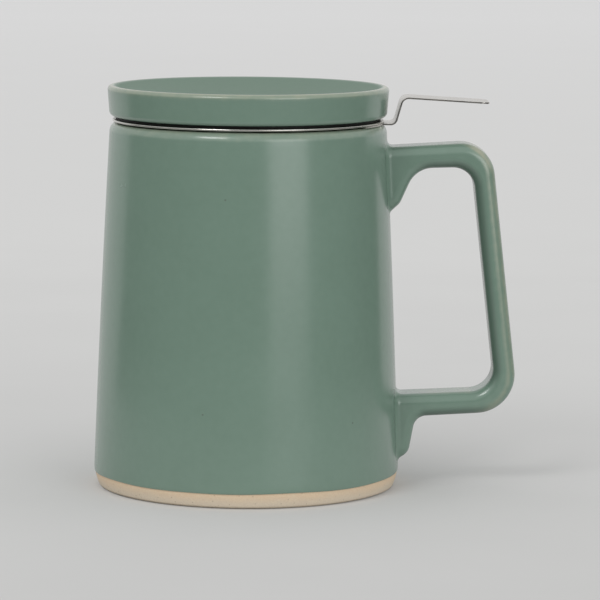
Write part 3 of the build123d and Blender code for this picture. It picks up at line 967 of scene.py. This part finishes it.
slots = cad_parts["mug_handle"].data.materials
slots.clear()
slots.append(handle_glaze)

# %% [markdown]
# ## Studio
# A pale matte floor runs back to where it fills the view. It is a little paler far away, as a
# lit sweep is. Plain shading alone would let the soft boxes' shadows fall hard on it, while a
# large studio fills them from all sides. So part of its look is a glow of its own colour, with
# less of it close to the cup, where a contact shadow is dark in any studio.

# %% Floor
FLOOR_GLOW = 0.5                  # share of the floor's look that no shadow dims
FLOOR_NEAR = "#c5c5c4"
FLOOR_MIDDLE = "#d7d7d6"
FLOOR_FAR = "#e1e1e1"
studio_radius = 8000.0
studio_facets = 96


def seen_directly(tree):
    """1 for rays from the camera, and for those by which gloss and glass show the floor."""
    rays = add(tree, "LightPath").node.outputs
    seen = add(tree, "Math", PLUS, [rays["Is Camera Ray"], rays["Is Glossy Ray"]])
    up_to_one = {"operation": "ADD", "use_clamp": True}
    return add(tree, "Math", up_to_one, [seen, rays["Is Transmission Ray"]])


def floor_material():
    """Matte paper whose colour changes with the distance back, in metres, a little unevenly."""
    material, tree = start_material("matte_paper_floor")
    coordinate = add(tree, "TexCoord", output="Object")
    back = add(tree, "SeparateXYZ", {}, [coordinate], "Y")
    paper = add(tree, "TexNoise", {}, {"Vector": coordinate, "Scale": 9, "Detail": 4})
    uneven = add(tree, "MapRange", SMOOTH, [paper, 0.3, 0.7, -0.05, 0.05])
    depth = add(tree, "Math", PLUS, [back, uneven])
    to_middle = add(tree, "MapRange", {}, [depth, -0.3, 0.7])
    to_far = add(tree, "MapRange", {}, [depth, 0.7, 3])
    near = add(tree, "Mix", COLOURS, {0: to_middle, 6: linear(FLOOR_NEAR), 7: linear(FLOOR_MIDDLE)}, 2)
    tone = add(tree, "Mix", COLOURS, {0: to_far, 6: near, 7: linear(FLOOR_FAR)}, 2)
    shaded = add(tree, "BsdfPrincipled", {}, {
        "Base Color": tone, "Roughness": 0.9, "Specular IOR Level": 0.2})
    shown = add(tree, "Emission", {}, {"Color": tone, "Strength": 1.0})
    away = add(tree, "VectorMath", {"operation": "LENGTH"}, [coordinate], "Value")
    glow = add(tree, "MapRange", SMOOTH, [away, 0.045, 0.16, 0.2 * FLOOR_GLOW, FLOOR_GLOW])
    share = add(tree, "Math", TIMES, [seen_directly(tree), glow])
    both = add(tree, "MixShader", {}, [share, shaded, shown])
    return end_of_graph(material, both)


turn = np.arange(studio_facets) * 2 * pi / studio_facets
disc = studio_radius * np.stack([np.cos(turn), np.sin(turn), 0 * turn], 1)
studio_floor = make_piece("studio_floor", disc, [list(range(len(disc)))], [floor_material()])

# %% [markdown]
# ## Light
# An even grey room gives most of the light, so a colour renders about as it is written. Two
# soft boxes add what shapes the glaze: a large one on the right, which draws the long soft
# streak down the wall, and a small bright one high on the left, which lights the lid's dish,
# glints on the rims and lays a weak shadow. A dark flag stands round the camera, where a studio
# is dark too. Only reflections see it: without it, satin glaze and steel look milky from the
# front.

# %% World and soft boxes
ROOM = 0.78
world = bpy.data.worlds.new("grey_room")
bpy.context.scene.world = world
world.use_nodes = True
world.node_tree.nodes.clear()
room = add(world.node_tree, "Background", {}, {"Color": (ROOM, ROOM, ROOM, 1), "Strength": 1.0})
add(world.node_tree, "OutputWorld", {}, {"Surface": room})


def aimed(azimuth, elevation, distance, target=(0, 0, 0.06)):
    """Matrix of a lamp at that direction from the target, azimuth counted from the camera's
    side towards the right, turned so that its -Z axis points at the target."""
    a, e = radians(azimuth), radians(elevation)
    way = Vector((sin(a) * cos(e), -cos(a) * cos(e), sin(e)))
    turned_to = way.to_track_quat("Z", "Y").to_matrix().to_4x4()
    return Matrix.Translation(Vector(target) + way * distance) @ turned_to


def soft_box(name, azimuth, elevation, distance, width, height, radiance):
    """A rectangular area lamp whose face has the given radiance: watts = radiance * area * pi."""
    lamp = bpy.data.lights.new(name, "AREA")
    lamp.shape = "RECTANGLE"
    lamp.size = width
    lamp.size_y = height
    lamp.energy = radiance * width * height * pi
    holder = bpy.data.objects.new(name, lamp)
    bpy.context.scene.collection.objects.link(holder)
    holder.matrix_world = aimed(azimuth, elevation, distance)
    print(f"{name}: {lamp.energy:.1f} W")


soft_box("tall_box_right", 33, 14, 2.6, width=1.5, height=1.5, radiance=2.35)
soft_box("key_left", -34, 42, 2.4, width=0.8, height=0.6, radiance=9.0)

# %% Flag
flag_half_turn = 114              # degrees to each side of the camera
FLAG_LINE = np.array([[300, 0.5], [1500, 0.5], [3000, 0.5], [3000, 700]])    # radius and height


def flag_sheet():
    """A dark sheet on the camera's side: it lies on the floor from near the cup out to 3 m, and
    stands up there."""
    spread = np.radians(np.linspace(-flag_half_turn, flag_half_turn, 47))
    away = FLAG_LINE[:, :1]
    height = np.repeat(FLAG_LINE[:, 1:], len(spread), 1)
    points = np.stack([away * np.sin(spread), -away * np.cos(spread), height], -1).reshape(-1, 3)
    return points, grid_faces(len(FLAG_LINE), len(spread), False, False).tolist()


def flag_material():
    """Black flock, which swallows nearly all light."""
    material, tree = start_material("black_flock")
    shader = add(tree, "BsdfPrincipled", {}, {"Base Color": linear("#1c1c1c"), "Roughness": 0.95})
    return end_of_graph(material, shader)


points, faces = flag_sheet()
flag = make_piece("dark_flag", points, faces, [flag_material()])
flag.visible_camera = False
flag.visible_diffuse = False
flag.visible_shadow = False
flag.visible_transmission = False

# %% [markdown]
# ## Camera
# A long lens a little over a metre away, about 90 mm above the cup's rim and tipped down by
# about seven degrees. A Track To constraint could aim it, but three plain numbers for yaw, pitch
# and roll can be changed one at a time.

# %% Camera
camera_distance = 1.1313
camera_height = 0.20244
camera_pitch = radians(7.260)
camera_yaw = radians(0.8403)
camera_roll = radians(0.4508)
lens = bpy.data.cameras.new("camera")
lens.sensor_width = 36
lens.lens = 217.69
camera = bpy.data.objects.new("camera", lens)
bpy.context.scene.collection.objects.link(camera)
camera.matrix_world = (
    Matrix.Translation((0, -camera_distance, camera_height))
    @ Matrix.Rotation(-camera_yaw, 4, "Z")
    @ Matrix.Rotation(radians(90) - camera_pitch, 4, "X")
    @ Matrix.Rotation(camera_roll, 4, "Z")
)
bpy.context.scene.camera = camera
bpy.context.scene.view_settings.view_transform = "Standard"
print(f"camera: {lens.lens:.1f} mm lens, {camera_distance} m from the cup's axis")
